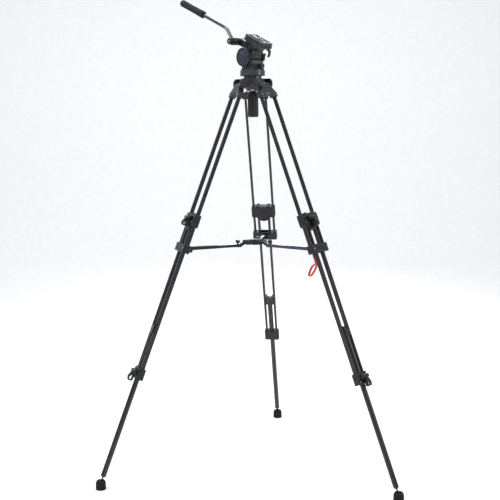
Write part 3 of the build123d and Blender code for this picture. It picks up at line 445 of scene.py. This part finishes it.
def leg_screws(leg, place):
    for side, letter in SIDES:
        for name, body, across, face, down, r in LEG_SCREWS:
            at = moved(place, x=side * across, y=face, z=-down, axis=(0, 1, 0))
            socket_screw(f"{leg}_{name}_screw_{letter}", at, f"{leg}_{body}", r, 1.6)


def inlay(leg, place):
    """Blank panel in the shoulder's recess, falling away at its edges."""
    bm = bmesh.new()
    bmesh.ops.create_grid(bm, x_segments=18, y_segments=8, size=1)
    for v in bm.verts:
        v.co.x *= INLAY_X
        v.co.y *= INLAY_Y
        fall_x = INLAY_FALL * (abs(v.co.x) / INLAY_X) ** 8
        fall_y = INLAY_FALL * (abs(v.co.y) / INLAY_Y) ** 8
        v.co.z = INLAY_RISE - fall_x - fall_y
    bmesh.ops.solidify(bm, geom=bm.faces[:], thickness=0.3)
    at = moved(place, y=9.3, z=-20, axis=(0, 1, 0))
    piece(f"{leg}_inlay", bm, at, GREY_CASTING, f"{leg}_leg")


# ------------------------------------------------------------------ centre and head
AWAY = moved(PAN, axis=(0, -1, 0))
BAR_LOCK = moved(TILT, x=-62.0, z=33.0, axis=(0, -1, 0))
GRIP_R = 12.9
GRIP_GROOVE_R = 12.3
WAIST = 0.7
LONG_RUN = 40


def tie_down():
    """The fluted grip under the bowl, with points along its side for the flutes to follow."""
    outline = [
        (0, 1299.5), (5.1, 1299.5), (5.1, 1365), (12, 1365), (12, 1362), (18, 1362), (19, 1360.5),
        (19, 1284), (16, 1281), (5, 1281), (4, 1281.6), (0, 1281.6),
    ]
    profile = [outline[0]]
    for a, b in zip(outline, outline[1:]):
        parts = 12 if abs(a[1] - b[1]) > LONG_RUN else 1
        steps = range(1, parts + 1)
        profile += [(a[0] + (b[0] - a[0]) * k / parts, a[1] + (b[1] - a[1]) * k / parts) for k in steps]
    piece(
        "fluted_tie_down", lathe(round_profile(profile, 0.9), 144, fluted(12, 1.5, 1286, 1358, 1.6)), CENTRE,
        MATERIALS["black_plastic"], "tie_down", ("tie_down_grip",),
    )


def drag_dial():
    """Knurled dial with a blue disc and a plain index mark."""
    profile = [
        (6.6, 38.5), (31.6, 38.5), (32.5, 39.4), (32.5, 40.4), (32.5, 40.8), (32.5, 46.0), (32.5, 46.4),
        (31.0, 48.0), (23.6, 48.0), (22.9, 46.9), (6.6, 46.9), (6.6, 38.5),
    ]
    knurl = fluted(72, 0.6, 40.5, 46.2, 1.0)
    piece(
        "knurled_dial", lathe(round_profile(profile, 0.5), 288, knurl), AWAY, MATERIALS["black_casting"],
        "drag_dial", ("drag_dial",),
    )
    disc = round_profile([(0, 47.0), (22.4, 47.0), (22.4, 47.6), (0, 47.9)], 0.2)
    piece("dial_disc", lathe(disc, 96), AWAY, BLUE_DISC, "drag_dial")
    mark = block((1.4, 8.0, 0.25), 0.08)
    piece("dial_index", mark, moved(AWAY, y=15.5, z=47.85), WHITE_MARK, "drag_dial")


def bar_knob():
    profile = [
        (0, 58.7), (10.2, 58.7), (11, 59.8), (11, 70.4), (10.0, 71.6), (5.2, 71.7), (4.6, 70.9), (0, 70.9),
    ]
    piece(
        "fluted_bar_knob", lathe(round_profile(profile, 0.6), 128, fluted(8, 1.4, 59.4, 71.2)), BAR_LOCK,
        MATERIALS["black_plastic"], "bar_lock", ("bar_knob",),
    )
    socket_screw("bar_knob_screw", moved(BAR_LOCK, z=70.8), "bar_lock", 3.6, 0.8)


def foam_grip():
    """Foam sleeve with a slight waist, ring grooves near its mouth and a domed end."""
    along = (BAR_END - BAR_BEND).normalized()
    place = moved(TILT, *(BAR_END - along * GRIP_LENGTH), axis=tuple(along))
    profile = [(0, 12.0), (6.6, 12.0), (6.6, 0.0), (10.6, 0.0), (12.6, 1.6)]
    for k in range(3):
        z = 5.0 + 3.4 * k
        profile += [(GRIP_R, z), (GRIP_R, z + 1.8), (GRIP_GROOVE_R, z + 2.2), (GRIP_GROOVE_R, z + 3.0)]
    run = GRIP_LENGTH - 32.0
    profile += [(12.8 - WAIST * sin(pi * k / 12), 18.0 + run * k / 12) for k in range(13)]
    for angle in range(0, 86, 12):
        a = radians(angle)
        profile.append((GRIP_R * cos(a), GRIP_LENGTH - 13.0 + GRIP_R * sin(a)))
    profile.append((0, GRIP_LENGTH - 0.05))
    piece(
        "foam_grip", lathe(round_profile(profile, 0.5, 2), 72), place, MATERIALS["grip_rubber"], "bar_joint",
        ("bar_grip",),
    )


def plate_pads():
    """Rubber pads on the release plate."""
    for side, letter in SIDES:
        at = moved(TILT, x=8, y=side * 16, z=72.3)
        pad = block((70, 8, 1.0), 0.35)
        piece(f"plate_pad_{letter}", pad, at, MATERIALS["rubber"], "camera_plate")


# ------------------------------------------------------------------ ribbon on the front leg
RIBBON_HALF_W = 5.0
RIBBON_TOP = (Vector((16.0, -14.4, -606.0)), Vector((16.0, -14.7, -630.0)))
RIBBON_NECK = Vector((16.0, -14.8, -652.0))
RIBBON_HANG = Vector((13.0, -34.0, -34.0))
RIBBON_FACES = Vector((-0.78, -0.62, 0.0))
LOOP_HALF_W = 7.0
LOOP_STEPS = 24
TWIST_ROWS = 5
CURL = 0.4


def red_ribbon():
    """A flat strip down the leg that turns into a hanging loop, cupped a little across its width."""
    leg = leg_frame(LEG_AZIMUTHS["front"])
    broad = (leg.to_3x3().inverted() @ RIBBON_FACES).normalized()
    spread = RIBBON_HANG.normalized().cross(broad).normalized()
    loop_side = (broad * 0.6 + spread * 0.8).normalized()
    line = [*RIBBON_TOP, RIBBON_NECK]
    for k in range(1, LOOP_STEPS + 1):
        a = 2 * pi * (k / LOOP_STEPS)
        line.append(RIBBON_NECK + RIBBON_HANG * (0.5 - 0.5 * cos(a)) + spread * LOOP_HALF_W * sin(a))
    bm = bmesh.new()
    rows = []
    for k, p in enumerate(line):
        turned = min(1.0, max(0.0, (k - 2) / TWIST_ROWS))
        across = (Vector((1, 0, 0)) * (1 - turned) + loop_side * turned).normalized()
        row = []
        for share in (-1.0, -0.5, 0.0, 0.5, 1.0):
            cup = spread * (CURL * sin(k * 1.1)) * share**2
            row.append(bm.verts.new(p + across * (RIBBON_HALF_W * share) + cup))
        rows.append(row)
    for low, high in zip(rows, rows[1:]):
        for i in range(4):
            bm.faces.new((low[i], low[i + 1], high[i + 1], high[i]))
    ribbon = piece(
        "red_ribbon_loop", bm, leg, MATERIALS["red_ribbon"], "front_leg", ("tag_ribbon",), smooth=80,
    )
    thick = ribbon.modifiers.new("cloth", "SOLIDIFY")
    thick.thickness = 0.0003


# ------------------------------------------------------------------ floor, lights, camera; metres
LOOK_AZIMUTH = 38.59
LOOK_PITCH = 0.1304
LOOK_ROLL = 0.0158
CAMERA_FROM_AXIS = Vector((-2.726, -2.151, 1.2615))
SWEEP_AT = 3.2
SWEEP_R = 1.5
FLOOR_HALF_W = 9


def studio_floor():
    """A pale floor that curves up into a backdrop, square to the camera."""
    side = [(-6, 0), (SWEEP_AT, 0)]
    for angle in range(10, 91, 10):
        a = radians(angle)
        side.append((SWEEP_AT + SWEEP_R * sin(a), SWEEP_R - SWEEP_R * cos(a)))
    side.append((SWEEP_AT + SWEEP_R, 9))
    bm = bmesh.new()
    rows = [[bm.verts.new((x, y, z)) for x in (-FLOOR_HALF_W, FLOOR_HALF_W)] for y, z in side]
    for a, b in zip(rows, rows[1:]):
        bm.faces.new((a[0], a[1], b[1], b[0]))
    mesh = bpy.data.meshes.new("studio_floor")
    bm.to_mesh(mesh)
    bm.free()
    turn = Matrix.Rotation(radians(LOOK_AZIMUTH - 90), 4, "Z")
    mesh.transform(Matrix.Translation(AXIS_AT * MM) @ turn)
    for poly in mesh.polygons:
        poly.use_smooth = True
    floor = bpy.data.objects.new("studio_floor", mesh)
    scene.collection.objects.link(floor)
    mesh.materials.append(
        finish(
            "pale_floor", (0.88, 0.88, 0.88), (0.93, 0.93, 0.93), (0.8, 0.95), grain=60.0,
            bump=0.00001, spec=0.2,
        )
    )


def area_light(name, at, target, size, watts, colour=(1, 1, 1)):
    """An area light; at and target are metres from the foot of the pan axis."""
    data = bpy.data.lights.new(name, "AREA")
    data.shape = "RECTANGLE"
    data.size, data.size_y = size
    data.energy = watts
    data.color = colour
    obj = bpy.data.objects.new(name, data)
    obj.location = Vector(at) + AXIS_AT * MM
    obj.rotation_euler = (Vector(target) - Vector(at)).to_track_quat("-Z", "Y").to_euler()
    scene.collection.objects.link(obj)


def soft_light():
    area_light("key", (-2.6, 1.6, 3.4), (0, 0, 0.9), (1.6, 2.2), 85, (0.95, 0.97, 1.0))
    area_light("fill", (0.9, -3.4, 2.2), (0, 0, 0.9), (1.2, 2.4), 45)
    area_light("top", (0.2, 0.3, 4.2), (0, 0, 0.6), (3.0, 3.0), 95)
    area_light("rim", (2.6, 1.8, 2.2), (0, 0, 1.0), (1.0, 2.2), 45, (0.9, 0.92, 1.0))
    world = bpy.data.worlds.new("studio")
    scene.world = world
    world.use_nodes = True
    world.node_tree.nodes["Background"].inputs["Color"].default_value = (0.95, 0.97, 1.0, 1)
    world.node_tree.nodes["Background"].inputs["Strength"].default_value = 0.6
    scene.view_settings.view_transform = "Standard"


def place_camera():
    look = radians(LOOK_AZIMUTH)
    ahead = Vector((cos(look) * cos(LOOK_PITCH), sin(look) * cos(LOOK_PITCH), -sin(LOOK_PITCH)))
    right = Vector((sin(look), -cos(look), 0))
    up = right.cross(ahead)
    cam_right = right * cos(LOOK_ROLL) - up * sin(LOOK_ROLL)
    cam_up = up * cos(LOOK_ROLL) + right * sin(LOOK_ROLL)
    turn = Matrix((cam_right, cam_up, -ahead)).transposed().to_4x4()
    data = bpy.data.cameras.new("camera")
    data.lens = 69.85
    data.sensor_width = 36.0
    camera = bpy.data.objects.new("camera", data)
    camera.matrix_world = Matrix.Translation(CAMERA_FROM_AXIS + AXIS_AT * MM) @ turn
    scene.collection.objects.link(camera)
    scene.camera = camera


# ------------------------------------------------------------------ the whole
dress_cad_nodes()
for leg, azimuth in LEG_AZIMUTHS.items():
    rubber_foot(leg, azimuth)
    arm_knob(leg, azimuth)
    leg_screws(leg, leg_frame(azimuth))
    inlay(leg, leg_frame(azimuth))
tie_down()
drag_dial()
bar_knob()
foam_grip()
plate_pads()
red_ribbon()
studio_floor()
soft_light()
place_camera()
